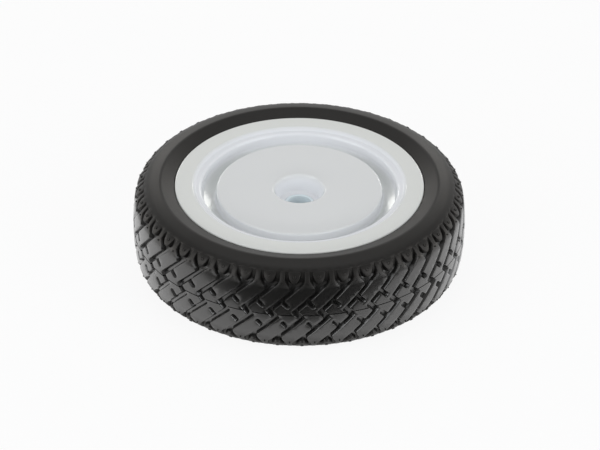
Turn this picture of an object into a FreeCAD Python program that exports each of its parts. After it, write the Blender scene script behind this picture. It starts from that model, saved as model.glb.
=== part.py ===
"""Lawn mower wheel: rubber tyre with a slanted lug tread, moulded plastic rim, plain axle bush.

Millimetres. The axle runs along Z, the outer face looks up (+Z) and the origin is the wheel's centre,
on the axle in the middle plane of the tyre.
"""
import FreeCAD
import Part
import math
import os

from FreeCAD import Vector

# Tyre section
tyre_dia = 177.8
tyre_width = 52.0
crown_radius = 100.0
crown_slope = 9.0
shoulder_width = 46.8
shoulder_round = 7.0
crest_dia = 147.6
crest_round = 2.0
lip_drop = 2.6
groove_depth = 2.4
groove_runout = 5.5

# Tread pattern on the unrolled tread: x runs along it, z across it from the middle plane
lug_count = 42
lug_angle = 45.0
lug_width = 6.8
lug_offset = 0.5
lug_start = 5.9
lug_left_z = 17.9
lug_right_z = 14.4
lug_tip_x = 14.9
lug_tip_z = 16.2
lug_top_z = 19.2
bridge_width = 2.1
block_width = 6.1
block_length = 12.2
slit_width = 0.6
slit_depth = 1.2
neck_x = 11.3
neck_width = 2.6
tongue_x = 4.45
tongue_width = 7.6
tongue_waist = 5.2
tongue_waist_z = 20.6
tongue_tip_z = 18.2
lug_root = 8.0

# Rim
rim_width = 47.8
flange_dia = 132.8
flange_thickness = 3.3
flange_round = 6.0
edge_round = 0.8
seat_dia = 111.0
barrel_wall = 3.4
ring_groove_width = 7.8
ring_groove_depth = 10.2
ring_groove_round = 3.5
disc_drop = 3.5
disc_wall = 3.4
disc_edge_round = 1.0
recess_dia = 27.2
recess_floor_dia = 22.2
recess_depth = 8.8
recess_round = 1.5
hub_dia = 27.0
hub_inset = 2.6
rib_count = 8
rib_thickness = 2.6
rib_inset = 8.0

# Axle bush
bore_dia = 12.7
bush_wall = 1.6
bush_flange_dia = 23.0
bush_flange_thickness = 1.6
bush_edge_round = 0.4

# Clearances
flange_gap = 0.4

# Sizes worked out from the ones above
tread_r = tyre_dia / 2
flange_r = flange_dia / 2
seat_r = seat_dia / 2
rim_top = rim_width / 2
flange_under = rim_top - flange_thickness
groove_outer_r = seat_r - barrel_wall
groove_inner_r = groove_outer_r - ring_groove_width
groove_floor = rim_top - ring_groove_depth
disc_top = rim_top - disc_drop
recess_floor = disc_top - recess_depth
hub_end = -rim_top + hub_inset
bore_r = bore_dia / 2
bush_r = bore_r + bush_wall

axle = Vector(0, 0, 1)


def rounded_wire(corners):
    """Closed wire in the XZ plane through (x, z, radius) corners, each rounded by its radius."""
    count = len(corners)
    rounds = []
    for index, (x, z, radius) in enumerate(corners):
        here = Vector(x, 0, z)
        before = corners[index - 1]
        after = corners[(index + 1) % count]
        back = (Vector(before[0], 0, before[1]) - here).normalize()
        ahead = (Vector(after[0], 0, after[1]) - here).normalize()
        half_angle = back.getAngle(ahead) / 2
        reach = radius / math.tan(half_angle)
        inward = (back + ahead).normalize() * (radius / math.sin(half_angle) - radius)
        rounds.append((here + back * reach, here + inward, here + ahead * reach, radius))
    edges = []
    for index, (start, middle, end, radius) in enumerate(rounds):
        if radius > 0:
            edges.append(Part.Arc(start, middle, end).toShape())
        following = rounds[(index + 1) % count][0]
        edges.append(Part.LineSegment(end, following).toShape())
    return Part.Wire(edges)


def turned(corners):
    """Solid of revolution about the axle of a rounded outline."""
    return Part.Face(rounded_wire(corners)).revolve(Vector(), axle, 360)


def around(shape, count):
    """Copies of a shape, evenly spaced about the axle."""
    copies = []
    for index in range(count):
        copy = shape.copy()
        copy.rotate(Vector(), axle, index * 360.0 / count)
        copies.append(copy)
    return copies


def tyre_body(crown_r, shoulder_corners):
    """Turned tyre from the crown's radius, the corners of its upper shoulder and the common sidewall."""
    slope = math.radians(crown_slope)
    crown_corner = crown_r + crown_radius * (1 / math.cos(slope) - 1)
    crest_z = tyre_width / 2
    lip_r = flange_r + flange_gap
    upper = shoulder_corners + [
        (crest_dia / 2, crest_z, crest_round),
        (lip_r, crest_z - lip_drop, 0),
        (lip_r, flange_under, 0),
        (seat_r, flange_under, 0),
    ]
    lower = [(r, -z, radius) for r, z, radius in reversed(upper)]
    return turned([(crown_corner, 0, crown_radius)] + upper + lower)


def shoulder_corner():
    """Radius and height of the sharp corner under the shoulder's rounding."""
    slope = math.radians(crown_slope)
    height = shoulder_width / 2
    radius = tread_r + crown_radius * (1 / math.cos(slope) - 1) - height * math.tan(slope)
    return radius, height


def tread_envelope():
    """Whole tyre up to the tops of the lugs."""
    radius, height = shoulder_corner()
    return tyre_body(tread_r, [(radius, height, shoulder_round)])


def tread_carcass():
    """Tyre down to the groove floors, which run out into the sidewalls."""
    radius, height = shoulder_corner()
    sidewall = Vector(crest_dia / 2 - radius, 0, tyre_width / 2 - height).normalize() * groove_runout
    return tyre_body(tread_r - groove_depth, [
        (radius - groove_depth, height - groove_depth, groove_depth),
        (radius + sidewall.x, height + sidewall.z, 0),
    ])


def slanted(along, across):
    """Tread point from its place along the lug direction and across it, down to the right."""
    angle = math.radians(lug_angle)
    x = along * math.cos(angle) + across * math.sin(angle)
    z = along * math.sin(angle) - across * math.cos(angle)
    return x, z


def lug_side(across, z):
    """Point at height z on the slanted line that lies a distance across the lug direction."""
    angle = math.radians(lug_angle)
    return across / math.sin(angle) + z / math.tan(angle), z


def polygon(points):
    """Edges of a closed outline on the tread through (x, z) points."""
    corners = [Vector(x, 0, z) for x, z in points]
    return Part.makePolygon(corners + corners[:1]).Edges


def tread_prism(edges, centre_x):
    """Prism of a tread outline, drawn out along the radius at its own place on the tread."""
    root_r = tread_r - groove_depth - lug_root
    height = tread_r + groove_depth - root_r
    face = Part.Face(Part.Wire(edges))
    face.translate(Vector(-centre_x, -root_r, 0))
    prism = face.extrude(Vector(0, -height, 0))
    prism.rotate(Vector(), axle, math.degrees(centre_x / tread_r))
    return prism


def centre_block():
    """Block on the middle plane, leaning the other way from the lugs."""
    half_width = block_width / 2
    half_length = block_length / 2
    return tread_prism(polygon([
        slanted(half_width, -half_length),
        slanted(half_width, half_length),
        slanted(-half_width, half_length),
        slanted(-half_width, -half_length),
    ]), 0)


def slanted_lug():
    """Long lug of the upper half, bridged to its centre block and necked to the shoulder."""
    left = lug_offset - lug_width
    bridge_left = lug_offset - bridge_width
    neck_left = neck_x - neck_width / 2
    neck_right = neck_x + neck_width / 2
    neck_top = tyre_width / 2
    outline = polygon([
        slanted(lug_start, left),
        lug_side(left, lug_left_z),
        (neck_left, lug_top_z),
        (neck_left, neck_top),
        (neck_right, neck_top),
        (neck_right, lug_top_z),
        (lug_tip_x, lug_tip_z),
        lug_side(lug_offset, lug_right_z),
        slanted(0, lug_offset),
        slanted(0, bridge_left),
        slanted(lug_start, bridge_left),
    ])
    return tread_prism(outline, lug_tip_x / 2)


def shoulder_tongue():
    """Tongue between two necks, widening from its rounded tip up to the shoulder."""
    half_waist = tongue_waist / 2
    half_width = tongue_width / 2
    top = tyre_width / 2
    waist_left = Vector(tongue_x - half_waist, 0, tongue_waist_z)
    waist_right = Vector(tongue_x + half_waist, 0, tongue_waist_z)
    top_left = Vector(tongue_x - half_width, 0, top)
    top_right = Vector(tongue_x + half_width, 0, top)
    tip = Vector(tongue_x, 0, tongue_tip_z)
    return tread_prism([
        Part.Arc(waist_left, tip, waist_right).toShape(),
        Part.LineSegment(waist_right, top_right).toShape(),
        Part.LineSegment(top_right, top_left).toShape(),
        Part.LineSegment(top_left, waist_left).toShape(),
    ], tongue_x)


def turned_over(shape):
    """Copy for the lower half of the tread: half a turn about the radius at the block's centre."""
    copy = shape.copy()
    copy.rotate(Vector(), Vector(0, 1, 0), 180)
    return copy


def centre_slit():
    """Thin ring that parts the centre blocks on the middle plane."""
    half_width = slit_width / 2
    return turned([
        (tread_r - slit_depth, -half_width, 0),
        (tread_r + slit_depth, -half_width, 0),
        (tread_r + slit_depth, half_width, 0),
        (tread_r - slit_depth, half_width, 0),
    ])


def make_tyre():
    """Tyre: turned carcass with one pitch of the tread repeated around it."""
    envelope = tread_envelope()
    lug = slanted_lug()
    tongue = shoulder_tongue()
    lug_pair = centre_block().fuse([lug, turned_over(lug)]).cut(centre_slit())
    tread = []
    for piece in (lug_pair, tongue, turned_over(tongue)):
        tread += around(piece.common(envelope), lug_count)
    return tread_carcass().fuse(tread).removeSplitter()


def rim_blank():
    """Rim with its outer face and tyre seat, filled behind."""
    return turned([
        (bush_r, recess_floor, 0),
        (recess_floor_dia / 2, recess_floor, edge_round),
        (recess_dia / 2, disc_top, recess_round),
        (groove_inner_r, disc_top, disc_edge_round),
        (groove_inner_r, groove_floor, ring_groove_round),
        (groove_outer_r, groove_floor, ring_groove_round),
        (groove_outer_r, rim_top, flange_round),
        (flange_r, rim_top, edge_round),
        (flange_r, flange_under, edge_round),
        (seat_r, flange_under, 0),
        (seat_r, -flange_under, 0),
        (flange_r, -flange_under, edge_round),
        (flange_r, -rim_top, edge_round),
        (groove_outer_r, -rim_top, edge_round),
        (groove_outer_r, hub_end, 0),
        (bush_r, hub_end, 0),
    ])


def rim_pockets():
    """Hollow behind the disc, between the hub tube, the barrel and the ribs."""
    hub_r = hub_dia / 2
    boss_r = recess_dia / 2 + disc_wall
    neck_r = groove_inner_r - disc_wall
    under_recess = recess_floor - disc_wall
    under_disc = disc_top - disc_wall
    under_groove = groove_floor - disc_wall
    hollow = turned([
        (hub_r, -rim_top, 0),
        (hub_r, under_recess, 0),
        (boss_r, under_recess, 0),
        (boss_r, under_disc, 0),
        (neck_r, under_disc, 0),
        (neck_r, under_groove, 0),
        (groove_outer_r, under_groove, 0),
        (groove_outer_r, -rim_top, 0),
    ])
    rib = Part.makeBox(seat_r, rib_thickness, rim_width)
    rib.translate(Vector(0, -rib_thickness / 2, -rim_top + rib_inset))
    return hollow.cut(around(rib, rib_count))


def make_rim():
    """Rim: one moulding with the hub tube and the ribs behind its disc."""
    return rim_blank().cut(rim_pockets())


def make_bush():
    """Flanged sleeve pressed into the hub from behind, flush with the recess floor."""
    bush_flange_r = bush_flange_dia / 2
    flange_end = hub_end - bush_flange_thickness
    return turned([
        (bore_r, recess_floor, 0),
        (bush_r, recess_floor, 0),
        (bush_r, hub_end, 0),
        (bush_flange_r, hub_end, 0),
        (bush_flange_r, flange_end, bush_edge_round),
        (bore_r, flange_end, 0),
    ])


def main():
    os.makedirs("parts", exist_ok=True)
    pieces = {"tyre": make_tyre(), "rim": make_rim(), "hub_bush": make_bush()}
    for name, shape in pieces.items():
        print(name, len(shape.Solids), shape.isValid(), round(shape.Volume / 1000, 1), "cm3")
        shape.exportStep("parts/" + name + ".step")


main()
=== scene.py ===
"""Dresses the lawn mower wheel: rubber tyre with a slanted lug tread, white moulded rim and axle bush."""
import math

import bpy
from bpy.props import FloatProperty, FloatVectorProperty, IntProperty, PointerProperty
from mathutils import Matrix, Vector


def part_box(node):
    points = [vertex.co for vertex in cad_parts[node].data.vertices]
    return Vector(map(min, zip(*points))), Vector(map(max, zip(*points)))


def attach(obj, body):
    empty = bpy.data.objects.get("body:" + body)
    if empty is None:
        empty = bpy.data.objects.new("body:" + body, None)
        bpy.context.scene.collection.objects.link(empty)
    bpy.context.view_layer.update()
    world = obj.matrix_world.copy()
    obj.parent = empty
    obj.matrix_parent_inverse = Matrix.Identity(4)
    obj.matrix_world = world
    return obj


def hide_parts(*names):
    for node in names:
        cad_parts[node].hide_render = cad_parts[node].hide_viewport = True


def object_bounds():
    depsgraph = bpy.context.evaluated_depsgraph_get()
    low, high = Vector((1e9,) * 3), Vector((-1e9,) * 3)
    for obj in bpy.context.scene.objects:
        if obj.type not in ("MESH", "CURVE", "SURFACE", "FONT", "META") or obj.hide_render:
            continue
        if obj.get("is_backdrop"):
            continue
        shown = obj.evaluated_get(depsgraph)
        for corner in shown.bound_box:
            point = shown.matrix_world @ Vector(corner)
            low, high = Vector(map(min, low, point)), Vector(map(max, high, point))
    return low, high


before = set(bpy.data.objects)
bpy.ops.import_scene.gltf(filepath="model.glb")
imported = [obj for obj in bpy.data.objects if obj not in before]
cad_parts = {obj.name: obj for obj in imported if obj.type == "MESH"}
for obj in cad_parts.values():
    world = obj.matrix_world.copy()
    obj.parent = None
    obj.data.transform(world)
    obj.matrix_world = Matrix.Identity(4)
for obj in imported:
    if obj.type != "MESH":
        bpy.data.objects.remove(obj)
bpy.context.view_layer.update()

bl_info = {
    "name": "Mower Wheel",
    "version": (1, 0, 0),
    "blender": (4, 5, 0),
    "location": "View3D > Sidebar > Wheel",
    "description": "Models and dresses a lawn mower wheel around its packed solids",
    "category": "Object",
}

MM = 0.001
BUSH_LOW, BUSH_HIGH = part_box("hub_bush")

# Places on the flat tread, in metres along the tread and across it
LUG_LEFT_END = 18.0 * MM
LUG_RIGHT_END = 14.6 * MM
LUG_TIP = (14.9 * MM, 16.4 * MM)
NECK_LEFT, NECK_RIGHT, NECK_START = 10.0 * MM, 12.6 * MM, 20.0 * MM
TONGUE_ROOTS = (0.8 * MM, 8.1 * MM)
TONGUE_FLANKS = (1.7 * MM, 7.1 * MM)
TONGUE_TIPS = (3.3 * MM, 5.6 * MM)
TONGUE_FLANK, TONGUE_TIP = 21.2 * MM, 18.5 * MM
LUG_PIP = (11.1 * MM, 18.4 * MM)
TONGUE_PIP = (4.5 * MM, 22.2 * MM)

# Reach of the lugs below the groove floors, in groove depths
LUG_ROOT = 1.25
# Room past the tread's edges and under its floors that is cut off again before bending
SPARE_SIDE = 5 * MM
SPARE_DEPTH = 3 * MM
# Thickness left under the groove floors
SKIN = 1 * MM
# Width of the short slope that ends the grooves
GROOVE_END = 0.7 * MM
SLIT_LENGTH = 60 * MM
# Repeats of the lugs under which one pitch is cut out
ROW = 5
# Straight runs that bend one pitch round the axle
BENDS = 5

PIP_SIDES = 12
# Top and wall of a pip in parts of its radius, and the hollow in its top in parts of its height
PIP_TAPER = 0.8
PIP_WALL = 0.3
PIP_HOLLOW = 0.6

# Fall of the rim's ledge towards the groove, and how far the ribs are sunk into their neighbours
LEDGE_FALL = 0.3 * MM
RIB_SUNK = 1 * MM

# Steps of the rounded corners and of the turned pieces
CROWN_STEPS = 14
SHOULDER_STEPS = 6
RIM_STEPS = 7
BUSH_STEPS = 3
RIM_TURNS = 180
BUSH_TURNS = 96
# Angles past which an edge stays crisp
TYRE_CRISP = math.radians(32)
PLASTIC_CRISP = math.radians(30)

# Distances under which points count as one
SAME_POINT = 1e-6
SAME_TILE = 2e-6
SAME_SEAM = 2e-5
ON_PLANE = 1e-7
# Point with no symmetry to a mesh, from which its parts are put in order
SORT_FROM = (0.317, 0.571, 0.793)

# Soft edges of the finishes' zones, by height or by radius
GLOSSY_HALF, MATT_HALF = 13 * MM, 19.5 * MM
OUTER_SIDE = (10 * MM, 12 * MM)
FLANGE_EDGE = (56 * MM, 58 * MM)
GROOVE_INSIDE = (43.9 * MM, 44.5 * MM)
GROOVE_OUTSIDE = (55.5 * MM, 57.5 * MM)
GROOVE_FOOT = (44.6 * MM, 45.8 * MM)
GROOVE_DEEP = (15 * MM, 17 * MM)
RECESS_EDGE = (12.4 * MM, 13.8 * MM)
# Tones of those zones, in parts of the plastic's colour: the flange warmer; painted light, brighter and
# bluer, on the ring groove's walls and in the recess; painted shade, darker, on the groove's floor
FLANGE_TONE = (1, 1, 0.965)
WALL_PAINTED_LIGHT = (1.10, 1.105, 1.14)
BOTTOM_PAINTED_SHADE = (0.88, 0.90, 0.89)

# Stage
FLOOR_COLOUR = (0.92, 0.92, 0.92, 1)
CARD_COLOUR = (0.02, 0.02, 0.02, 1)
SEEN_WHITE = 0.91
FLOOR_SIZE = 8
WALL_HEIGHT = 3
CARD_SIZE = 2
CARD_Y = -1.115
WORLD_LIGHT = 0.3
COOL = (0.94, 0.97, 1.0)
WARM = (1.0, 0.985, 0.94)
SENSOR_WIDTH = 36


def length(name, description, value):
    """A size in millimetres, kept in metres."""
    return FloatProperty(name=name, description=description, default=value * MM, unit="LENGTH", precision=5)


class TyreSizes(bpy.types.PropertyGroup):
    """Section and tread of the tyre."""

    crown_r: length("Crown radius", "Radius of the tread in the middle plane", 88.9)
    crown_reach: length("Crown reach", "Half width of the rounded middle of the tread", 15.8)
    crown_slope: FloatProperty(
        name="Crown slope", description="Fall of the tread beside its rounded middle",
        default=math.radians(9), subtype="ANGLE")
    shoulder_z: length("Shoulder height", "Height of the sharp corner under the rounded shoulder", 23.4)
    shoulder_round: length("Shoulder rounding", "Radius of the shoulder", 11.0)
    crest_r: length("Crest radius", "Radius of the sidewall's highest ring", 74.2)
    crest_z: length("Crest height", "Height of the sidewall's highest ring", 26.0)
    crest_round: length("Crest rounding", "Radius of the crest", 3.5)
    lip_r: length("Lip radius", "Radius of the sidewall's inner edge", 66.8)
    lip_z: length("Lip height", "Height of the sidewall's inner edge", 23.4)
    recess_z: length("Recess height", "Height of the ledge under the rim's flange", 20.6)
    seat_r: length("Seat radius", "Radius of the face that grips the rim", 55.5)
    groove_depth: length("Groove depth", "Depth of the tread's grooves", 2.4)
    floor_half: length("Floor half width", "Half width of the level part of the groove floors", 19.5)
    tread_half: length("Tread half width", "Place along the section where the lugs end", 25.0)
    end_depth: length("End depth", "Depth of the grooves where the lugs end", 0.55)
    tread_step: length("Tread step", "Height of the lugs over the sidewall", 0.12)
    draft: length("Draft", "Lean of the lugs' walls from top to floor", 0.8)
    corner_round: length("Corner rounding", "Rounding of the lugs' corners in plan", 0.5)
    hollow_round: length("Hollow rounding", "Rounding of the lugs' inward corners at the groove floor", 0.3)
    edge_round: length("Edge rounding", "Rounding of the lugs' top edges", 0.28)
    lug_count: IntProperty(
        name="Lugs", description="Repeats of the tread around the tyre", default=42, min=8)
    lug_angle: FloatProperty(
        name="Lug angle", description="Lean of the lugs from the tread's direction",
        default=math.radians(45), subtype="ANGLE")
    lug_width: length("Lug width", "Width of a long lug across its direction", 6.8)
    lug_offset: length("Lug offset", "Distance of a lug's right side from the centre block's middle", 0.5)
    lug_start: length("Lug start", "Distance along the lug direction where a long lug starts", 5.9)
    bridge_width: length("Bridge width", "Width of the bridge from a centre block to its lug", 2.1)
    block_width: length("Block width", "Width of a centre block", 6.1)
    block_length: length("Block length", "Length of a centre block", 12.2)
    slit_width: length("Slit width", "Width of the slit in the middle plane", 0.5)
    slit_depth: length("Slit depth", "Depth of the slit in the middle plane", 1.2)
    pip_r: length("Pip radius", "Radius of the moulding pips on the lugs", 0.5)
    button_r: length("Button radius", "Radius of the moulding pips on the tongues", 1.0)
    pip_height: length("Pip height", "Height of the moulding pips", 0.35)


class RimSizes(bpy.types.PropertyGroup):
    """Section of the rim and its ribs."""

    flange_r: length("Flange radius", "Radius of the flange", 66.4)
    top_z: length("Top", "Height of the flange's outer face", 23.9)
    flange_under: length("Flange underside", "Height of the flange's tyre side", 20.6)
    face_r: length("Face radius", "Inner radius of the flange's flat face", 56.9)
    ledge_r: length("Ledge radius", "Outer radius of the ledge inside the flange", 55.3)
    ledge_drop: length("Ledge drop", "Drop of the ledge under the flange's face", 1.6)
    ledge_round: length("Ledge rounding", "Rounding of the ledge into the ring groove", 1.6)
    edge_round: length("Edge rounding", "Rounding of the small edges", 0.8)
    seat_r: length("Seat radius", "Radius of the tyre seat", 55.5)
    barrel_r: length("Barrel radius", "Radius of the barrel's inner face", 52.1)
    groove_width: length("Groove width", "Width of the ring groove", 7.8)
    groove_floor: length("Groove floor", "Height of the ring groove's floor", 13.7)
    groove_rise: length("Groove rise", "Rise of the ring groove's floor towards the flange", 2.4)
    groove_round: length("Groove rounding", "Rounding of the ring groove's floor", 1.8)
    disc_top: length("Disc top", "Height of the disc's outer face", 20.4)
    disc_wall: length("Disc wall", "Thickness of the disc", 3.4)
    disc_round: length("Disc rounding", "Rounding of the disc's outer edge", 1.0)
    recess_r: length("Recess radius", "Radius of the bolt recess at its lip", 13.6)
    recess_round: length("Recess rounding", "Rounding of the bolt recess's lip", 1.5)
    recess_floor_r: length("Recess floor radius", "Radius of the bolt recess's floor", 11.1)
    recess_floor: length("Recess floor", "Height of the bolt recess's floor", BUSH_HIGH[2] / MM)
    hub_r: length("Hub radius", "Radius of the hub tube", 13.5)
    hub_end: length("Hub end", "Height of the hub tube's inner end", -21.3)
    bush_r: length("Bush radius", "Radius of the bush's seat", 7.95)
    rib_count: IntProperty(name="Ribs", description="Ribs behind the disc", default=8, min=3)
    rib_thickness: length("Rib thickness", "Thickness of a rib", 2.6)
    rib_end: length("Rib end", "Height of the ribs' free edges", -15.9)


class BushSizes(bpy.types.PropertyGroup):
    """Section of the axle bush."""

    bore_r: length("Bore radius", "Radius of the axle bore", 6.35)
    sleeve_r: length("Sleeve radius", "Radius of the sleeve", 7.95)
    flange_r: length("Flange radius", "Radius of the flange", 11.5)
    flange_thickness: length("Flange thickness", "Thickness of the flange", 1.6)
    edge_round: length("Edge rounding", "Rounding of the edges", 0.4)


class Finishes(bpy.types.PropertyGroup):
    """Colours of the wheel."""

    rubber: FloatVectorProperty(
        name="Rubber", description="Colour of the tyre", default=(0.007, 0.0069, 0.0065), subtype="COLOR")
    plastic: FloatVectorProperty(
        name="Plastic", description="Colour of the rim", default=(0.80, 0.805, 0.80), subtype="COLOR")
    # The bush's pale blue-teal is painted: the tint of shade in white plastic, made pale to stand in for
    # light in the bore
    bush: FloatVectorProperty(
        name="Bush", description="Colour of the bush", default=(0.85, 0.93, 0.96), subtype="COLOR")


class StageSettings(bpy.types.PropertyGroup):
    """Camera and light."""

    distance: FloatProperty(
        name="Distance", description="Camera distance from the wheel's centre", default=1.6, unit="LENGTH")
    elevation: FloatProperty(
        name="Elevation", description="Camera height over the horizon",
        default=math.radians(33.53), subtype="ANGLE")
    roll: FloatProperty(
        name="Roll", description="Lean of the camera about its view",
        default=math.radians(0.52), subtype="ANGLE")
    lens: FloatProperty(name="Lens", description="Focal length in millimetres", default=178.7)
    aim_right: length("Aim right", "Place of the picture's middle right of the wheel's centre", 0.5)
    aim_down: length("Aim down", "Place of the picture's middle below the wheel's centre", 2.6)


class Wheel(bpy.types.PropertyGroup):
    """All settings of the wheel."""

    tyre: PointerProperty(type=TyreSizes)
    rim: PointerProperty(type=RimSizes)
    bush: PointerProperty(type=BushSizes)
    finishes: PointerProperty(type=Finishes)
    stage: PointerProperty(type=StageSettings)


# Modelling helpers

def deselect():
    """Nothing is selected or active any more."""
    if bpy.context.object and bpy.context.object.mode != "OBJECT":
        bpy.ops.object.mode_set(mode="OBJECT")
    bpy.ops.object.select_all(action="DESELECT")


def make_active(*pieces):
    """Selects pieces, the first of them active."""
    deselect()
    for piece in pieces:
        piece.select_set(True)
    bpy.context.view_layer.objects.active = pieces[0]


def edit(piece):
    """Opens a piece in edit mode with all of it selected."""
    make_active(piece)
    bpy.ops.object.mode_set(mode="EDIT")
    bpy.ops.mesh.select_mode(type="VERT")
    bpy.ops.mesh.select_all(action="SELECT")


def done():
    """Leaves edit mode."""
    bpy.ops.object.mode_set(mode="OBJECT")


def pick_vertices(piece, test):
    """Selects in edit mode the vertices whose place passes the test."""
    bpy.ops.mesh.select_mode(type="VERT")
    bpy.ops.mesh.select_all(action="DESELECT")
    done()
    for vertex in piece.data.vertices:
        vertex.select = test(vertex.co)
    bpy.ops.object.mode_set(mode="EDIT")


def pick_edges(piece, test):
    """Selects in edit mode the edges whose middle passes the test."""
    bpy.ops.mesh.select_mode(type="EDGE")
    bpy.ops.mesh.select_all(action="DESELECT")
    done()
    for edge in piece.data.edges:
        first, second = (piece.data.vertices[index].co for index in edge.vertices)
        edge.select = test((first + second) / 2)
    bpy.ops.object.mode_set(mode="EDIT")


def chain(name, points):
    """A row of vertices joined by edges, drawn by extruding one vertex from point to point."""
    deselect()
    bpy.ops.mesh.primitive_plane_add(size=MM)
    piece = bpy.context.object
    piece.name = name
    edit(piece)
    bpy.ops.mesh.merge(type="CENTER")
    bpy.ops.transform.translate(value=points[0])
    for start, end in zip(points, points[1:]):
        bpy.ops.mesh.extrude_vertices_move(TRANSFORM_OT_translate={"value": end - start})
    done()
    return piece


def close_ring(piece):
    """Joins the two ends of a chain."""
    edit(piece)
    bpy.ops.mesh.select_all(action="DESELECT")
    done()
    uses = [0] * len(piece.data.vertices)
    for edge in piece.data.edges:
        for index in edge.vertices:
            uses[index] += 1
    for vertex in piece.data.vertices:
        vertex.select = uses[vertex.index] == 1
    bpy.ops.object.mode_set(mode="EDIT")
    bpy.ops.mesh.edge_face_add()
    done()


def round_corner(piece, corner, before, after, radius, steps):
    """Rounds one corner of a chain to a radius."""
    reach = radius / math.tan((before - corner).angle(after - corner) / 2)
    edit(piece)
    pick_vertices(piece, lambda place: (place - corner).length < SAME_POINT)
    bpy.ops.mesh.bevel(offset=reach, offset_type="OFFSET", segments=steps, affect="VERTICES")
    done()


def section_ring(name, corners, steps):
    """Closed chain in the XZ plane through (radius, height, rounding) corners."""
    points = [Vector((r, 0, z)) for r, z, rounding in corners]
    piece = chain(name, points)
    close_ring(piece)
    count = len(points)
    for index, (r, z, rounding) in enumerate(corners):
        if rounding > 0:
            before, after = points[index - 1], points[(index + 1) % count]
            round_corner(piece, points[index], before, after, rounding, steps)
    return piece


def volume(piece):
    """Volume inside a closed mesh, negative where its faces look inwards."""
    mesh = piece.data
    total = 0.0
    for face in mesh.polygons:
        corners = [mesh.vertices[index].co for index in face.vertices]
        for second, third in zip(corners[1:], corners[2:]):
            total += corners[0].dot(second.cross(third)) / 6
    return total


def face_outwards(piece):
    """Turns all faces of a closed mesh outwards."""
    edit(piece)
    bpy.ops.mesh.normals_make_consistent(inside=False)
    done()
    if volume(piece) < 0:
        edit(piece)
        bpy.ops.mesh.flip_normals()
        done()


def spin(piece, steps):
    """Turns a closed section in the XZ plane about the axle into a solid."""
    edit(piece)
    bpy.ops.mesh.spin(steps=steps, angle=math.tau, center=(0, 0, 0), axis=(0, 0, 1))
    bpy.ops.mesh.select_all(action="SELECT")
    bpy.ops.mesh.remove_doubles(threshold=SAME_POINT)
    put_in_order()
    done()
    face_outwards(piece)


def combine(piece, other, operation):
    """Joins or cuts a piece with another solid, which is used up."""
    make_active(piece)
    modifier = piece.modifiers.new(operation.lower(), "BOOLEAN")
    modifier.operation = operation
    modifier.solver = "EXACT"
    modifier.use_self = operation == "UNION"
    modifier.object = other
    bpy.ops.object.modifier_apply(modifier=modifier.name)
    bpy.data.objects.remove(other)


def repeat(piece, count, step, merge=False):
    """Copies of a piece in a row, in the same mesh."""
    make_active(piece)
    modifier = piece.modifiers.new("row", "ARRAY")
    modifier.count = count
    modifier.use_relative_offset = False
    modifier.use_constant_offset = True
    modifier.constant_offset_displace = step
    modifier.use_merge_vertices = merge
    modifier.merge_threshold = SAME_TILE
    bpy.ops.object.modifier_apply(modifier=modifier.name)


def shift(piece, by):
    """Moves a whole mesh in edit mode."""
    edit(piece)
    bpy.ops.transform.translate(value=by)
    done()


def cut(place, normal, clear=False):
    """Cuts the open mesh along a plane, and can clear what lies beyond it."""
    bpy.ops.mesh.select_all(action="SELECT")
    bpy.ops.mesh.bisect(plane_co=place, plane_no=normal, clear_outer=clear, threshold=ON_PLANE)


def put_in_order():
    """Sorts the open mesh by place, so that each run merges and shades it the same way."""
    bpy.ops.mesh.select_all(action="SELECT")
    cursor = bpy.context.scene.cursor
    cursor.location = SORT_FROM
    bpy.ops.mesh.sort_elements(type="CURSOR_DISTANCE", elements={"VERT", "EDGE", "FACE"})
    cursor.location = (0, 0, 0)


def finish_piece(piece, name, material, node):
    """Names a finished piece, gives it its material and puts it in the frame in place of a node."""
    make_active(piece)
    piece.name = name
    piece.data.name = name
    piece.data.materials.clear()
    piece.data.materials.append(material)
    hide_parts(node)
    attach(piece, "root")


# Tread, drawn flat: X across the tread towards the outer face, Y against the rolling direction, Z up

def flat(x, y):
    """Point of the flat tread from its place along the tread and across it."""
    return Vector((y, -x, 0))


def slanted(tyre, along, across):
    """Place on the tread from distances along the lug direction and across it."""
    x = along * math.cos(tyre.lug_angle) + across * math.sin(tyre.lug_angle)
    y = along * math.sin(tyre.lug_angle) - across * math.cos(tyre.lug_angle)
    return x, y


def lug_side(tyre, across, y):
    """Place at a height on the slanted line that lies a distance across the lug direction."""
    return across / math.sin(tyre.lug_angle) + y / math.tan(tyre.lug_angle), y


def lug_outline(tyre):
    """Centre block with its two long lugs, the lower one the upper one turned half round."""
    half_width = tyre.block_width / 2
    half_length = tyre.block_length / 2
    left = tyre.lug_offset - tyre.lug_width
    bridge = tyre.lug_offset - tyre.bridge_width
    upper = [
        slanted(tyre, half_width, -half_length),
        slanted(tyre, half_width, bridge),
        slanted(tyre, tyre.lug_start, bridge),
        slanted(tyre, tyre.lug_start, left),
        lug_side(tyre, left, LUG_LEFT_END),
        (NECK_LEFT, NECK_START),
        (NECK_LEFT, tyre.tread_half),
        (NECK_RIGHT, tyre.tread_half),
        (NECK_RIGHT, NECK_START),
        LUG_TIP,
        lug_side(tyre, tyre.lug_offset, LUG_RIGHT_END),
        slanted(tyre, half_width, tyre.lug_offset),
        slanted(tyre, half_width, half_length),
    ]
    return upper + turned(upper)


def tongue_outline(tyre):
    """Rounded tongue between two necks."""
    return [
        (TONGUE_ROOTS[0], tyre.tread_half),
        (TONGUE_FLANKS[0], TONGUE_FLANK),
        (TONGUE_TIPS[0], TONGUE_TIP),
        (TONGUE_TIPS[1], TONGUE_TIP),
        (TONGUE_FLANKS[1], TONGUE_FLANK),
        (TONGUE_ROOTS[1], tyre.tread_half),
    ]


def turned(outline):
    """Outline turned half round the middle of the flat tread."""
    return [(-x, -y) for x, y in outline]


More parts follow.
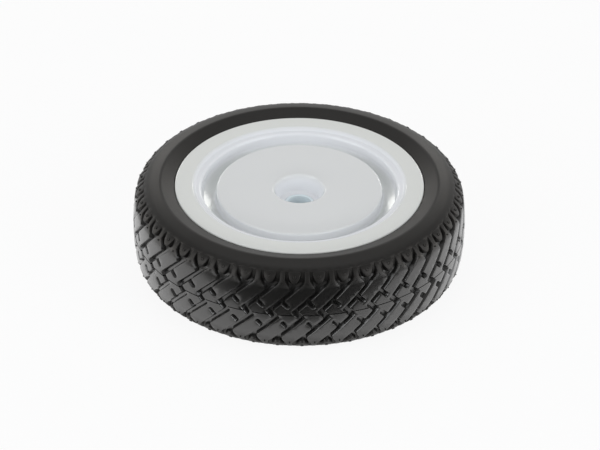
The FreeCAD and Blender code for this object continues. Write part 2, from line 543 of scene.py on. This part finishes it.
def grown(points, distance):
    """Outline moved outwards by a distance, its points in clockwise order seen from above."""
    moved = []
    count = len(points)
    for index, here in enumerate(points):
        back = (here - points[index - 1]).normalized()
        ahead = (points[(index + 1) % count] - here).normalized()
        outward = Vector((-back.y - ahead.y, back.x + ahead.x, 0)).normalized()
        lean = outward.dot(Vector((-ahead.y, ahead.x, 0)))
        moved.append(here + outward * (distance / lean))
    return moved


def signed_area(points):
    """Twice the area of an outline, negative where it runs clockwise."""
    return sum(a.x * b.y - b.x * a.y for a, b in zip(points, points[1:] + points[:1]))


def raised_block(name, tyre, outline, corner_round):
    """Solid block from its top outline: drafted walls down past the groove floor, rounded edges."""
    points = [flat(x, y) for x, y in outline]
    if signed_area(points) > 0:
        points.reverse()
    height = tyre.groove_depth * LUG_ROOT
    draft = tyre.draft * LUG_ROOT
    base = [point - Vector((0, 0, height)) for point in grown(points, draft)]
    piece = chain(name, base)
    close_ring(piece)
    for index, here in enumerate(base):
        before, after = base[index - 1], base[(index + 1) % len(base)]
        hollow = (here - before).cross(after - here).z > 0
        radius = tyre.hollow_round if hollow else corner_round + draft
        round_corner(piece, here, before, after, radius, 2 if hollow else 3)
    edit(piece)
    bpy.ops.mesh.select_all(action="SELECT")
    bpy.ops.mesh.edge_face_add()
    done()
    if piece.data.polygons[0].normal.z < 0:
        edit(piece)
        bpy.ops.mesh.flip_normals()
        done()
    edit(piece)
    bpy.ops.mesh.inset(thickness=draft, depth=height, use_boundary=True, use_even_offset=True)
    bpy.ops.mesh.region_to_loop()
    bpy.ops.mesh.bevel(offset=tyre.edge_round, segments=2, affect="EDGES")
    bpy.ops.mesh.select_mode(type="EDGE")
    bpy.ops.mesh.select_all(action="DESELECT")
    bpy.ops.mesh.select_non_manifold()
    bpy.ops.mesh.edge_face_add()
    done()
    return piece


def pip(tyre, x, y, radius):
    """Moulding pip with a hollow top that stands on a lug or a tongue."""
    deselect()
    place = flat(x, y)
    depth = tyre.pip_height * 3
    bpy.ops.mesh.primitive_cylinder_add(vertices=PIP_SIDES, radius=radius, depth=depth, location=place)
    piece = bpy.context.object
    bpy.ops.object.transform_apply(location=True, rotation=False, scale=False)
    shift(piece, (0, 0, -tyre.pip_height / 2))
    edit(piece)
    top = tyre.pip_height * 0.9
    pick_vertices(piece, lambda co: co.z > top)
    bpy.ops.transform.resize(value=(PIP_TAPER, PIP_TAPER, 1), center_override=place)
    bpy.ops.mesh.inset(thickness=radius * PIP_WALL, depth=-tyre.pip_height * PIP_HOLLOW)
    done()
    return piece


def joined(pieces):
    """Several pieces as one mesh."""
    make_active(*pieces)
    bpy.ops.object.join()
    return pieces[0]


def one_pitch(tyre):
    """Lugs, tongues, pips and slit of one repeat of the tread."""
    lug = raised_block("lug", tyre, lug_outline(tyre), tyre.corner_round)
    tongue_top = tongue_outline(tyre)
    tongue_round = tyre.corner_round * 2
    tongues = [raised_block("tongue", tyre, top, tongue_round) for top in (tongue_top, turned(tongue_top))]
    blocks = joined([lug] + tongues)
    pips = []
    for (x, y), radius in ((LUG_PIP, tyre.pip_r), (TONGUE_PIP, tyre.button_r)):
        pips += [pip(tyre, x, y, radius), pip(tyre, -x, -y, radius)]
    combine(blocks, joined(pips), "UNION")
    deselect()
    bpy.ops.mesh.primitive_cube_add(size=1)
    blade = bpy.context.object
    edit(blade)
    bpy.ops.transform.resize(value=(tyre.slit_width, SLIT_LENGTH, tyre.slit_depth * 2))
    done()
    combine(blocks, blade, "DIFFERENCE")
    return blocks


def floor_strip(tyre, half_section, pitch):
    """Bed that the lugs stand on: groove floors that rise to the sidewalls, three pitches long."""
    half = half_section + SPARE_SIDE
    deep = -tyre.groove_depth
    bottom = deep - SPARE_DEPTH
    step = -tyre.tread_step
    right = [
        (tyre.floor_half, deep),
        (tyre.tread_half - GROOVE_END, -tyre.end_depth),
        (tyre.tread_half, step),
        (half, step),
        (half, bottom),
    ]
    left = [(-x, z) for x, z in reversed(right)]
    points = [Vector((x, -2 * pitch, z)) for x, z in left + right]
    piece = chain("tyre", points)
    close_ring(piece)
    edit(piece)
    bpy.ops.mesh.edge_face_add()
    bpy.ops.mesh.extrude_region_move(TRANSFORM_OT_translate={"value": (0, 3 * pitch, 0)})
    done()
    face_outwards(piece)
    return piece


def tyre_section(tyre):
    """Curve along the outside of the tyre's section, from the inner sidewall to the outer one."""
    slope = math.tan(tyre.crown_slope)
    bevel_drop = (2 - math.sqrt(2)) * tyre.crown_reach * math.sin(tyre.crown_slope)
    peak = tyre.crown_r + bevel_drop
    shoulder_r = peak - tyre.shoulder_z * slope
    crown_round = tyre.crown_reach / slope
    upper = [
        (tyre.shoulder_z, shoulder_r, tyre.shoulder_round),
        (tyre.crest_z, tyre.crest_r, tyre.crest_round),
        (tyre.lip_z, tyre.lip_r, 0),
    ]
    lower = [(-z, r, rounding) for z, r, rounding in reversed(upper)]
    corners = lower + [(0, peak, crown_round)] + upper
    points = [Vector((z, 0, r)) for z, r, rounding in corners]
    piece = chain("section", points)
    for index, (z, r, rounding) in enumerate(corners):
        if rounding > 0:
            steps = CROWN_STEPS if z == 0 else SHOULDER_STEPS
            round_corner(piece, points[index], points[index - 1], points[index + 1], rounding, steps)
    make_active(piece)
    bpy.ops.object.convert(target="CURVE")
    piece.data.twist_mode = "MINIMUM"
    bpy.ops.object.mode_set(mode="EDIT")
    bpy.ops.curve.select_all(action="SELECT")
    if piece.data.splines[0].points[0].co.x > 0:
        bpy.ops.curve.switch_direction()
    bpy.ops.transform.tilt(value=math.pi)
    done()
    return piece


def section_stations(curve):
    """Distances of the section's points from its start."""
    points = [Vector(point.co[:3]) for point in curve.data.splines[0].points]
    stations = [0.0]
    for start, end in zip(points, points[1:]):
        stations.append(stations[-1] + (end - start).length)
    return stations


def tread_tile(tyre, stations, pitch):
    """One pitch of the tyre's outside, flat, from sidewall to sidewall and cut for bending."""
    half_section = stations[-1] / 2
    strip = floor_strip(tyre, half_section, pitch)
    blocks = one_pitch(tyre)
    repeat(blocks, ROW, (0, pitch, 0))
    shift(blocks, (0, -ROW / 2 * pitch, 0))
    combine(strip, blocks, "UNION")
    edit(strip)
    cut((0, 0, 0), (0, 1, 0), clear=True)
    cut((0, -pitch, 0), (0, -1, 0), clear=True)
    cut((half_section, 0, 0), (1, 0, 0), clear=True)
    cut((-half_section, 0, 0), (-1, 0, 0), clear=True)
    cut((0, 0, -tyre.groove_depth - SKIN), (0, 0, -1), clear=True)
    for station in stations[1:-1]:
        cut((station - half_section, 0, 0), (1, 0, 0))
    for index in range(1, BENDS):
        cut((0, -pitch * index / BENDS, 0), (0, 1, 0))
    bpy.ops.mesh.select_all(action="SELECT")
    bpy.ops.mesh.remove_doubles(threshold=SAME_TILE)
    bpy.ops.transform.translate(value=(half_section, 0, 0))
    put_in_order()
    done()
    return strip


def wrap_tread(tyre, tile, curve, pitch):
    """Bends the flat tile to the section, repeats it and bends the row round the axle."""
    make_active(tile)
    modifier = tile.modifiers.new("section", "CURVE")
    modifier.object = curve
    modifier.deform_axis = "POS_X"
    bpy.ops.object.modifier_apply(modifier=modifier.name)
    bpy.data.objects.remove(curve)
    tile.matrix_world = Matrix(((0, -1, 0, 0), (0, 0, -1, tyre.crown_r), (1, 0, 0, 0), (0, 0, 0, 1)))
    bpy.ops.object.transform_apply(location=True, rotation=True, scale=True)
    repeat(tile, tyre.lug_count, (pitch, 0, 0), merge=True)
    modifier = tile.modifiers.new("round", "SIMPLE_DEFORM")
    modifier.deform_method = "BEND"
    modifier.deform_axis = "Z"
    modifier.angle = math.tau
    bpy.ops.object.modifier_apply(modifier=modifier.name)
    edit(tile)
    bpy.ops.transform.translate(value=(0, -tyre.crown_r, 0))
    bpy.ops.mesh.remove_doubles(threshold=SAME_SEAM)
    done()


def pick_open_edges():
    """Selects in edit mode the edges with only one face."""
    bpy.ops.mesh.select_all(action="DESELECT")
    bpy.ops.mesh.select_non_manifold(
        extend=False, use_wire=False, use_boundary=True, use_multi_face=False,
        use_non_contiguous=False, use_verts=False)


def add_beads(tyre, tile):
    """Ledges under the rim's flanges, and the face that grips the barrel."""
    edit(tile)
    narrow = tyre.seat_r / tyre.lip_r
    for side in (1, -1):
        pick_open_edges()
        done()
        limit = tyre.lip_z - 2 * MM
        for vertex in tile.data.vertices:
            vertex.select = vertex.select and vertex.co.z * side > limit
        for edge in tile.data.edges:
            ends = [tile.data.vertices[index].select for index in edge.vertices]
            edge.select = edge.select and all(ends)
        bpy.ops.object.mode_set(mode="EDIT")
        drop = (tyre.recess_z - tyre.lip_z) * side
        bpy.ops.mesh.extrude_edges_move(TRANSFORM_OT_translate={"value": (0, 0, drop)})
        bpy.ops.mesh.extrude_edges_move(TRANSFORM_OT_translate={"value": (0, 0, 0)})
        bpy.ops.transform.resize(value=(narrow, narrow, 1), center_override=(0, 0, 0))
    pick_open_edges()
    bpy.ops.mesh.bridge_edge_loops()
    done()
    face_outwards(tile)


def smooth(piece, angle):
    """Smooth shading, with edges sharper than the angle left crisp."""
    make_active(piece)
    bpy.ops.object.shade_smooth_by_angle(angle=angle)


# Materials

class Wire:
    """A node's output that arithmetic can be written on."""

    def __init__(self, board, socket):
        self.board = board
        self.socket = socket

    def combine(self, operation, first, second):
        return self.board.node("ShaderNodeMath", {"operation": operation}, {0: first, 1: second})

    def __add__(self, other):
        return self.combine("ADD", self, other)

    def __radd__(self, other):
        return self.combine("ADD", other, self)

    def __sub__(self, other):
        return self.combine("SUBTRACT", self, other)

    def __rsub__(self, other):
        return self.combine("SUBTRACT", other, self)

    def __mul__(self, other):
        return self.combine("MULTIPLY", self, other)

    def __rmul__(self, other):
        return self.combine("MULTIPLY", other, self)


class Board:
    """The node tree of one material or world."""

    def __init__(self, owner):
        owner.use_nodes = True
        self.tree = owner.node_tree
        self.tree.nodes.clear()

    def node(self, kind, settings=None, inputs=None, output=0):
        """Adds a node, sets it up, feeds its sockets and returns one of its outputs."""
        node = self.tree.nodes.new(kind)
        for name, value in (settings or {}).items():
            setattr(node, name, value)
        for name, value in (inputs or {}).items():
            if isinstance(value, Wire):
                self.tree.links.new(value.socket, node.inputs[name])
            else:
                node.inputs[name].default_value = value
        return Wire(self, node.outputs[output]) if len(node.outputs) else None

    def noise(self, scale, detail):
        """Noise in the piece's own coordinates, scale in repeats per metre."""
        return self.node("ShaderNodeTexNoise", {}, {
            "Vector": self.place(), "Scale": scale, "Detail": detail})

    def place(self):
        """Place in the piece's own coordinates."""
        return self.node("ShaderNodeTexCoord", output="Object")

    def height(self):
        """Height over the wheel's middle plane."""
        return self.node("ShaderNodeSeparateXYZ", {}, {0: self.place()}, output="Z")

    def radius(self):
        """Distance from the axle."""
        level = self.node("ShaderNodeVectorMath", {"operation": "MULTIPLY"}, {0: self.place(), 1: (1, 1, 0)})
        return self.node("ShaderNodeVectorMath", {"operation": "LENGTH"}, {0: level}, output="Value")

    def ramp(self, value, start, end):
        """Soft step from 0 at the start to 1 at the end."""
        return self.node("ShaderNodeMapRange", {"interpolation_type": "SMOOTHSTEP"}, {
            "Value": value, "From Min": start, "From Max": end})

    def spread(self, value, low, high):
        """Value from 0 to 1 spread between two limits."""
        return value * (high - low) + low

    def mix(self, factor, first, second):
        """Mix of two colours."""
        return self.node("ShaderNodeMix", {"data_type": "RGBA"}, {0: factor, 6: first, 7: second}, output=2)

    def bump(self, height, strength, distance):
        """Normal roughened by a height."""
        return self.node("ShaderNodeBump", {}, {
            "Height": height, "Strength": strength, "Distance": distance})


def shaded(colour, factor):
    """A colour made lighter or darker, opaque."""
    return tuple(channel * factor for channel in colour) + (1.0,)


def toned(colour, tone):
    """A colour changed channel by channel, opaque."""
    return tuple(channel * part for channel, part in zip(colour, tone)) + (1.0,)


def rubber_finish(colour):
    """Moulded black rubber: satin, mottled, with a fine grain, the tread glossier than the sidewalls."""
    material = bpy.data.materials.new("moulded_rubber")
    board = Board(material)
    mottle = board.noise(90, 3)
    grain = board.noise(2600, 2)
    tone = board.mix(mottle, shaded(colour, 0.8), shaded(colour, 1.25))
    height = board.height()
    tread = 1 - board.ramp(height * height, GLOSSY_HALF ** 2, MATT_HALF ** 2)
    surface = board.node("ShaderNodeBsdfPrincipled", {}, {
        "Base Color": tone,
        "Roughness": board.spread(mottle, 0.40, 0.46),
        "Normal": board.bump(grain, 0.12, 0.00012),
        "Specular IOR Level": 0.34,
        "Specular Tint": (1.0, 0.94, 0.89, 1.0),
        "Coat Weight": tread,
        "Coat Roughness": 0.24,
        "Coat IOR": 1.7,
    })
    board.node("ShaderNodeOutputMaterial", {}, {"Surface": surface})
    return material


def rim_tone_with_painted_light(board, face, colour):
    """Tone of the rim's outer side: warmer on the flange; painted light, brighter and bluer, on the ring
    groove's walls and in the recess; painted shade, darker, on the groove's floor.
    """
    height = board.height()
    radius = board.radius()
    outer = board.ramp(height, *OUTER_SIDE)
    flange = board.ramp(radius, *FLANGE_EDGE)
    groove = board.ramp(radius, *GROOVE_INSIDE) * (1 - board.ramp(radius, *GROOVE_OUTSIDE))
    recess = 1 - board.ramp(radius, *RECESS_EDGE)
    bottom = board.ramp(radius, *GROOVE_FOOT) * (1 - board.ramp(height, *GROOVE_DEEP))
    warmer_flange = board.mix(flange, face, toned(colour, FLANGE_TONE))
    # Painted light: the ring groove and the recess brighter and bluer
    walls = board.mix(outer * (groove + recess), warmer_flange, toned(colour, WALL_PAINTED_LIGHT))
    # Painted shade: the ring groove's floor darker
    return board.mix(outer * groove * bottom, walls, toned(colour, BOTTOM_PAINTED_SHADE))


def plastic_finish(name, colour, gloss_low, gloss_high, tint=None):
    """Moulded plastic: smooth, faintly clouded and wavy, with a tone laid over it where one is given; the
    rim's tone holds painted light and shade.
    """
    material = bpy.data.materials.new(name)
    board = Board(material)
    cloud = board.noise(25, 2)
    wave = board.noise(220, 2)
    face = board.mix(cloud, shaded(colour, 0.985), shaded(colour, 1.01))
    surface = board.node("ShaderNodeBsdfPrincipled", {}, {
        "Base Color": tint(board, face, colour) if tint else face,
        "Roughness": board.spread(cloud, gloss_low, gloss_high),
        "Normal": board.bump(wave, 0.04, 0.0002),
        "IOR": 1.49,
    })
    board.node("ShaderNodeOutputMaterial", {}, {"Surface": surface})
    return material


# Operators

class WHEEL_OT_tyre(bpy.types.Operator):
    """Models the tyre: one pitch of the tread drawn flat, bent to the section and round the axle"""

    bl_idname = "wheel.tyre"
    bl_label = "Tyre"

    def execute(self, context):
        tyre = context.scene.mower_wheel.tyre
        pitch = math.tau * tyre.crown_r / tyre.lug_count
        curve = tyre_section(tyre)
        tile = tread_tile(tyre, section_stations(curve), pitch)
        wrap_tread(tyre, tile, curve, pitch)
        add_beads(tyre, tile)
        smooth(tile, TYRE_CRISP)
        finish = rubber_finish(context.scene.mower_wheel.finishes.rubber)
        finish_piece(tile, "moulded_tyre", finish, "tyre")
        return {"FINISHED"}


class WHEEL_OT_rim(bpy.types.Operator):
    """Models the rim: its section spun about the axle, with the ribs behind its disc"""

    bl_idname = "wheel.rim"
    bl_label = "Rim"

    def execute(self, context):
        rim = context.scene.mower_wheel.rim
        piece = section_ring("rim", self.section(rim), RIM_STEPS)
        spin(piece, RIM_TURNS)
        combine(piece, self.ribs(rim), "UNION")
        smooth(piece, PLASTIC_CRISP)
        colour = context.scene.mower_wheel.finishes.plastic
        # The rim's tone paints light into its ring groove and recess, and shade onto the groove's floor
        finish = plastic_finish("white_plastic", colour, gloss_low=0.10, gloss_high=0.16, tint=rim_tone_with_painted_light)
        finish_piece(piece, "moulded_rim", finish, "rim")
        return {"FINISHED"}

    def section(self, rim):
        """Corners of the rim's section, from the recess floor round by the flanges and back."""
        groove_inner = rim.barrel_r - rim.groove_width
        neck_r = groove_inner - rim.disc_wall
        boss_r = rim.recess_r + rim.disc_wall
        under_recess = rim.recess_floor - rim.disc_wall
        under_disc = rim.disc_top - rim.disc_wall
        under_groove = rim.groove_floor - rim.disc_wall
        ledge_z = rim.top_z - rim.ledge_drop
        soft = rim.edge_round
        return [
            (rim.bush_r, rim.recess_floor, 0),
            (rim.recess_floor_r, rim.recess_floor, soft),
            (rim.recess_r, rim.disc_top, rim.recess_round),
            (groove_inner, rim.disc_top, rim.disc_round),
            (groove_inner, rim.groove_floor, rim.groove_round),
            (rim.barrel_r, rim.groove_floor + rim.groove_rise, rim.groove_round),
            (rim.barrel_r, ledge_z - LEDGE_FALL, rim.ledge_round),
            (rim.ledge_r, ledge_z, soft),
            (rim.face_r, rim.top_z, soft),
            (rim.flange_r, rim.top_z, soft),
            (rim.flange_r, rim.flange_under, soft),
            (rim.seat_r, rim.flange_under, 0),
            (rim.seat_r, -rim.flange_under, 0),
            (rim.flange_r, -rim.flange_under, soft),
            (rim.flange_r, -rim.top_z, soft),
            (rim.barrel_r, -rim.top_z, soft),
            (rim.barrel_r, under_groove, soft),
            (neck_r, under_groove, soft),
            (neck_r, under_disc, soft),
            (boss_r, under_disc, soft),
            (boss_r, under_recess, soft),
            (rim.hub_r, under_recess, soft),
            (rim.hub_r, rim.hub_end, soft),
            (rim.bush_r, rim.hub_end, 0),
        ]

    def ribs(self, rim):
        """Ribs from the hub tube to the barrel, sunk a little into both and into the disc."""
        inner = rim.hub_r - RIB_SUNK
        outer = rim.barrel_r + RIB_SUNK
        top = rim.groove_floor - rim.disc_wall + RIB_SUNK
        size = (outer - inner, rim.rib_thickness, top - rim.rib_end)
        middle = Vector(((inner + outer) / 2, 0, (top + rim.rib_end) / 2))
        ribs = []
        for index in range(rim.rib_count):
            deselect()
            bpy.ops.mesh.primitive_cube_add(size=1)
            rib = bpy.context.object
            edit(rib)
            bpy.ops.transform.resize(value=size)
            bpy.ops.transform.translate(value=middle)
            done()
            rib.rotation_euler.z = index * math.tau / rim.rib_count
            bpy.ops.object.transform_apply(location=True, rotation=True, scale=True)
            ribs.append(rib)
        return joined(ribs)


class WHEEL_OT_bush(bpy.types.Operator):
    """Models the axle bush: a flanged sleeve"""

    bl_idname = "wheel.bush"
    bl_label = "Bush"

    def execute(self, context):
        bush = context.scene.mower_wheel.bush
        soft = bush.edge_round
        piece = section_ring("bush", [
            (bush.bore_r, BUSH_HIGH[2], soft),
            (bush.sleeve_r, BUSH_HIGH[2], soft),
            (bush.sleeve_r, BUSH_LOW[2] + bush.flange_thickness, 0),
            (bush.flange_r, BUSH_LOW[2] + bush.flange_thickness, soft),
            (bush.flange_r, BUSH_LOW[2], soft),
            (bush.bore_r, BUSH_LOW[2], soft),
        ], BUSH_STEPS)
        spin(piece, BUSH_TURNS)
        smooth(piece, PLASTIC_CRISP)
        # The bush's colour is painted shade tint, pale to stand in for light in the bore
        colour = context.scene.mower_wheel.finishes.bush
        finish = plastic_finish("bush_plastic", colour, gloss_low=0.14, gloss_high=0.20)
        finish_piece(piece, "axle_bush", finish, "hub_bush")
        return {"FINISHED"}


class WHEEL_OT_stage(bpy.types.Operator):
    """Sets up the floor, the light and the camera"""

    bl_idname = "wheel.stage"
    bl_label = "Stage"

    def execute(self, context):
        self.sweep()
        self.card()
        self.world(context.scene)
        self.lamps()
        self.camera(context.scene, context.scene.mower_wheel.stage)
        context.scene.view_settings.view_transform = "Standard"
        return {"FINISHED"}

    def unlit(self, board):
        """One for rays that show the background itself: straight, mirrored or seen through glass."""
        path = "ShaderNodeLightPath"
        straight = board.node(path, output="Is Camera Ray")
        mirrored = board.node(path, output="Is Glossy Ray")
        through = board.node(path, output="Is Transmission Ray")
        return (straight + mirrored + through) * SEEN_WHITE

    def sweep(self):
        """Pale floor that rises into walls left, right and behind, plain white where it is only seen."""
        deselect()
        bpy.ops.mesh.primitive_plane_add(size=FLOOR_SIZE, location=(0, 0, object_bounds()[0][2]))
        sweep = bpy.context.object
        sweep.name = "floor"
        bpy.ops.object.transform_apply(location=True, rotation=False, scale=False)
        edit(sweep)
        pick_edges(sweep, lambda middle: middle.y > -FLOOR_SIZE / 4)
        bpy.ops.mesh.extrude_edges_move(TRANSFORM_OT_translate={"value": (0, 0, WALL_HEIGHT)})
        done()
        material = bpy.data.materials.new("pale_floor")
        board = Board(material)
        lit = board.node("ShaderNodeBsdfDiffuse", {}, {"Color": FLOOR_COLOUR})
        white = board.node("ShaderNodeEmission", {}, {"Color": (1, 1, 1, 1), "Strength": 1.0})
        shown = board.node("ShaderNodeMixShader", {}, {0: self.unlit(board), 1: lit, 2: white})
        board.node("ShaderNodeOutputMaterial", {}, {"Surface": shown})
        sweep.data.materials.append(material)
        sweep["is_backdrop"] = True

    def card(self):
        """Dark card on the floor in front, which only the gloss shows."""
        deselect()
        bpy.ops.mesh.primitive_plane_add(size=CARD_SIZE, location=(0, CARD_Y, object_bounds()[0][2] + MM))
        card = bpy.context.object
        card.name = "dark_card"
        bpy.ops.object.transform_apply(location=True, rotation=False, scale=False)
        card.visible_camera = False
        card.visible_diffuse = False
        card.visible_shadow = False
        material = bpy.data.materials.new("dark_felt")
        board = Board(material)
        felt = board.node("ShaderNodeBsdfDiffuse", {}, {"Color": CARD_COLOUR})
        board.node("ShaderNodeOutputMaterial", {}, {"Surface": felt})
        card.data.materials.append(material)
        card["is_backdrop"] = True

    def world(self, scene):
        """Even light from all sides."""
        world = bpy.data.worlds.new("studio")
        board = Board(world)
        soft = board.node("ShaderNodeBackground", {}, {"Color": (1, 1, 1, 1), "Strength": WORLD_LIGHT})
        board.node("ShaderNodeOutputWorld", {}, {"Surface": soft})
        scene.world = world

    def lamps(self):
        """A soft box overhead and two in front, low strips at the sides and two small boxes behind."""
        self.lamp("top_box", (0, 0.4, 1.5), (1.5, 0.6), 4.0, COOL)
        for side, name in ((-1, "left"), (1, "right")):
            self.lamp(name + "_box", (side * 1.2, -0.9, 0.75), (1.3, 1.3), 11.2, COOL)
            self.lamp(name + "_strip", (side * 1.2, 0.25, 0.1), (1.0, 0.2), 1.6, WARM)
            self.lamp(name + "_back_box", (side * 0.38, 1.19, 0.55), (0.22, 0.22), 0.9, WARM)

    def lamp(self, name, place, size, power, colour):
        """Flat lamp that looks at the wheel's centre."""
        data = bpy.data.lights.new(name, "AREA")
        data.shape = "RECTANGLE"
        data.size, data.size_y = size
        data.energy = power
        data.color = colour
        lamp = bpy.data.objects.new(name, data)
        lamp.location = place
        lamp.rotation_euler = (-Vector(place)).to_track_quat("-Z", "Y").to_euler()
        bpy.context.collection.objects.link(lamp)

    def camera(self, scene, stage):
        """Camera in front of the wheel and above it."""
        data = bpy.data.cameras.new("camera")
        data.sensor_width = SENSOR_WIDTH
        data.lens = stage.lens
        data.clip_end = 100
        camera = bpy.data.objects.new("camera", data)
        backward = Vector((0, -math.cos(stage.elevation), math.sin(stage.elevation)))
        place = backward * stage.distance
        turn = backward.to_track_quat("Z", "Y").to_matrix()
        aim = turn @ Vector((stage.aim_right, -stage.aim_down, 0))
        look = (place - aim).to_track_quat("Z", "Y").to_matrix()
        tilted = look @ Matrix.Rotation(stage.roll, 3, "Z")
        camera.matrix_world = Matrix.Translation(place) @ tilted.to_4x4()
        bpy.context.collection.objects.link(camera)
        scene.camera = camera


class WHEEL_PT_panel(bpy.types.Panel):
    """Lists the wheel's pieces and sizes"""

    bl_idname = "WHEEL_PT_panel"
    bl_label = "Mower Wheel"
    bl_space_type = "VIEW_3D"
    bl_region_type = "UI"
    bl_category = "Wheel"

    def draw(self, context):
        for operator in OPERATORS:
            self.layout.operator(operator.bl_idname)
        wheel = context.scene.mower_wheel
        for group in (wheel.tyre, wheel.rim, wheel.bush, wheel.finishes, wheel.stage):
            box = self.layout.box()
            for name in group.__annotations__:
                box.prop(group, name)


GROUPS = (TyreSizes, RimSizes, BushSizes, Finishes, StageSettings, Wheel)
OPERATORS = (WHEEL_OT_tyre, WHEEL_OT_rim, WHEEL_OT_bush, WHEEL_OT_stage)


def register():
    for item in GROUPS + OPERATORS + (WHEEL_PT_panel,):
        bpy.utils.register_class(item)
    bpy.types.Scene.mower_wheel = PointerProperty(type=Wheel)


def unregister():
    del bpy.types.Scene.mower_wheel
    for item in reversed(GROUPS + OPERATORS + (WHEEL_PT_panel,)):
        bpy.utils.unregister_class(item)


def main():
    register()
    bpy.ops.wheel.tyre()
    bpy.ops.wheel.rim()
    bpy.ops.wheel.bush()
    bpy.ops.wheel.stage()


if __name__ == "__main__":
    main()
